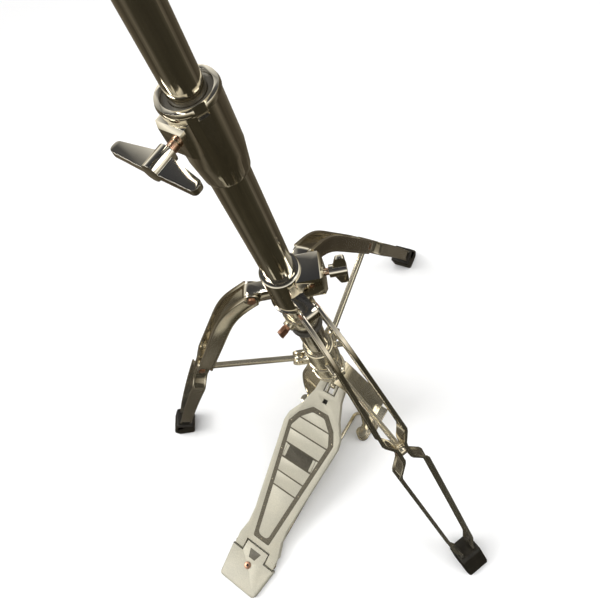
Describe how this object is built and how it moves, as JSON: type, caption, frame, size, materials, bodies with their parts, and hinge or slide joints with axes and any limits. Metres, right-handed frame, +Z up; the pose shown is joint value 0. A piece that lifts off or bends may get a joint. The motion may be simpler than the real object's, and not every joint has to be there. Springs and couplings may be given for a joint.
{
  "type": "hi-hat stand",
  "caption": "Pedal-driven hi-hat stand: folding three-legged base, telescoping tubes, sprung pull rod, cymbal seat and clutch, shown without cymbals.",
  "frame": {"origin": "on the floor, on the axis of the tubes", "axes": "+Z up along the tubes; the pedal points along -Y, its heel at the most negative Y; +X is to the right of a player who sits at -Y and looks along +Y"},
  "size_m": [0.5259, 0.6177, 1.08],
  "materials": {
    "chrome": "polished, with warm dark reflections",
    "steel": "plated",
    "copper": "dulled copper plating",
    "board_alloy": "sand-cast satin",
    "grip": "matt",
    "plate": "satin",
    "rubber": "matt moulded",
    "plastic": "matt",
    "felt": "pressed wool felt"
  },
  "bodies": {
    "base": {"lower_tube": "chrome", "height_clamp": "chrome", "clamp_bushing": "plastic", "pedal_frame": "steel", "frame_hub": "steel", "hub_screws": "steel", "rod_guide_bush": "plastic", "heel_plate": "board_alloy", "heel_pad": "rubber", "heel_screw": "copper", "hinge_pin": "steel", "radius_rod": "steel", "memory_ring": "steel", "stop_ring": "plastic", "return_spring": "steel"},
    "clamp_wing": {"clamp_wing_bolt": "chrome"},
    "memory_thumb": {"memory_screw": "chrome"},
    "spur_right": {"spur_right": "steel"},
    "spur_left": {"spur_left": "steel"},
    "pedal": {"footboard": "board_alloy", "footboard_inlay": "grip", "footboard_plate": "plate", "toe_pin": "steel"},
    "pull_rod": {"rod_yoke": "steel", "yoke_pin": "steel", "pull_rod_lower": "steel", "rod_coupler": "steel", "pull_rod_upper": "chrome", "spring_collar": "steel"},
    "link": {"pull_link": "steel"},
    "upper": {"upper_tube": "chrome", "tube_guide_ring": "plastic", "seat_base": "chrome", "seat_pin": "steel"},
    "seat": {"seat_cup": "chrome", "seat_felt": "felt"},
    "tilt": {"tilt_screw": "chrome"},
    "clutch": {"clutch_body": "chrome", "clutch_nut": "chrome", "clutch_felts": "felt", "lock_nuts": "chrome"},
    "clutch_wing": {"clutch_wing_screw": "chrome"},
    "tripod": {"strut_collar": "steel", "strut_pins": "steel", "strut_collar_screw": "steel"},
    "leg_collar": {"leg_collar": "steel"},
    "collar_wing": {"collar_wing_bolt": "chrome"},
    "leg_left": {"leg_left_strips": "chrome", "leg_left_boot": "rubber", "leg_left_rivets": "copper"},
    "strut_left": {"strut_left": "steel"},
    "leg_rear": {"leg_rear_strips": "chrome", "leg_rear_boot": "rubber", "leg_rear_rivets": "copper"},
    "strut_rear": {"strut_rear": "steel"},
    "leg_right": {"leg_right_strips": "chrome", "leg_right_boot": "rubber", "leg_right_rivets": "copper"},
    "strut_right": {"strut_right": "steel"}
  },
  "joints": [
    {"name": "pedal_hinge", "type": "hinge", "parent": "base", "child": "pedal", "pos_m": [0, -0.268, 0.0115], "axis": [-1, 0, 0], "range_deg": [0, 10.5], "stiffness_Nm_per_rad": 36, "springref_deg": -5.73},
    {"name": "rod_slide", "type": "slide", "parent": "base", "child": "pull_rod", "axis": [0, 0, -1], "range_m": [0, 0.05], "deforming": ["return_spring"]},
    {"name": "link_swing", "type": "hinge", "parent": "pull_rod", "child": "link", "pos_m": [0, 0, 0.154], "axis": [1, 0, 0], "range_deg": [0, 22.6]},
    {"name": "height_slide", "type": "slide", "parent": "base", "child": "upper", "axis": [0, 0, 1], "range_m": [-0.12, 0.04]},
    {"name": "seat_tilt", "type": "hinge", "parent": "upper", "child": "seat", "pos_m": [0, 0.018, 0.818], "axis": [-1, 0, 0], "range_deg": [0, 4.5]},
    {"name": "tilt_screw_lift", "type": "slide", "parent": "upper", "child": "tilt", "axis": [0, 0, 1], "range_m": [0, 0.0028]},
    {"name": "clutch_slide", "type": "slide", "parent": "pull_rod", "child": "clutch", "axis": [0, 0, 1], "range_m": [0, 0.045]},
    {"name": "clutch_screw_turn", "type": "hinge", "parent": "clutch", "child": "clutch_wing", "pos_m": [0.0135, 0, 1.002], "axis": [1, 0, 0], "range_deg": [0, 450]},
    {"name": "clamp_bolt_turn", "type": "hinge", "parent": "base", "child": "clamp_wing", "pos_m": [0, -0.03, 0.63], "axis": [0, -1, 0], "range_deg": [0, 450]},
    {"name": "collar_bolt_turn", "type": "hinge", "parent": "leg_collar", "child": "collar_wing", "pos_m": [0.03231, 0.02524, 0.434], "axis": [0.788, 0.6157, 0], "range_deg": [0, 450]},
    {"name": "memory_screw_turn", "type": "hinge", "parent": "base", "child": "memory_thumb", "pos_m": [-0.00292, -0.0208, 0.364], "axis": [-0.1392, -0.9903, 0], "range_deg": [0, 450]},
    {"name": "spur_right_raise", "type": "slide", "parent": "base", "child": "spur_right", "axis": [0, 0, 1], "range_m": [0, 0.01]},
    {"name": "spur_left_raise", "type": "slide", "parent": "base", "child": "spur_left", "axis": [0, 0, 1], "range_m": [0, 0.01]},
    {"name": "tripod_swivel", "type": "hinge", "parent": "base", "child": "tripod", "pos_m": [0, 0, 0.24], "axis": [0, 0, 1], "range_deg": [-12, 12]},
    {"name": "leg_fold", "type": "slide", "parent": "tripod", "child": "leg_collar", "axis": [0, 0, 1], "range_m": [0, 0.112]},
    {"name": "leg_left_hinge", "type": "hinge", "parent": "leg_collar", "child": "leg_left", "pos_m": [-0.02758, -0.02155, 0.421], "axis": [0.6157, -0.788, 0], "range_deg": [0, 19.5]},
    {"name": "leg_rear_hinge", "type": "hinge", "parent": "leg_collar", "child": "leg_rear", "pos_m": [-0.00487, 0.03466, 0.421], "axis": [-0.9903, -0.1392, 0], "range_deg": [0, 19.5]},
    {"name": "leg_right_hinge", "type": "hinge", "parent": "leg_collar", "child": "leg_right", "pos_m": [0.03245, -0.01311, 0.421], "axis": [0.3746, 0.9272, 0], "range_deg": [0, 19.5]},
    {"name": "strut_left_hinge", "type": "hinge", "parent": "tripod", "child": "strut_left", "pos_m": [-0.02364, -0.01847, 0.234], "axis": [-0.6157, 0.788, 0], "range_deg": [0, 49.8]},
    {"name": "strut_rear_hinge", "type": "hinge", "parent": "tripod", "child": "strut_rear", "pos_m": [-0.00417, 0.02971, 0.234], "axis": [0.9903, 0.1392, 0], "range_deg": [0, 49.8]},
    {"name": "strut_right_hinge", "type": "hinge", "parent": "tripod", "child": "strut_right", "pos_m": [0.02782, -0.01124, 0.234], "axis": [-0.3746, -0.9272, 0], "range_deg": [0, 49.8]}
  ],
  "couplings": [
    {"joint": "rod_slide", "follows": "pedal_hinge", "m_per_rad": 0.26865},
    {"joint": "link_swing", "follows": "pedal_hinge", "ratio": 2.141},
    {"joint": "tilt_screw_lift", "follows": "seat_tilt", "m_per_rad": 0.034},
    {"joint": "leg_left_hinge", "follows": "leg_fold", "rad_per_m": 3.0244},
    {"joint": "leg_rear_hinge", "follows": "leg_fold", "rad_per_m": 3.0244},
    {"joint": "leg_right_hinge", "follows": "leg_fold", "rad_per_m": 3.0244},
    {"joint": "strut_left_hinge", "follows": "leg_fold", "rad_per_m": 7.7457},
    {"joint": "strut_rear_hinge", "follows": "leg_fold", "rad_per_m": 7.7457},
    {"joint": "strut_right_hinge", "follows": "leg_fold", "rad_per_m": 7.7457}
  ]
}
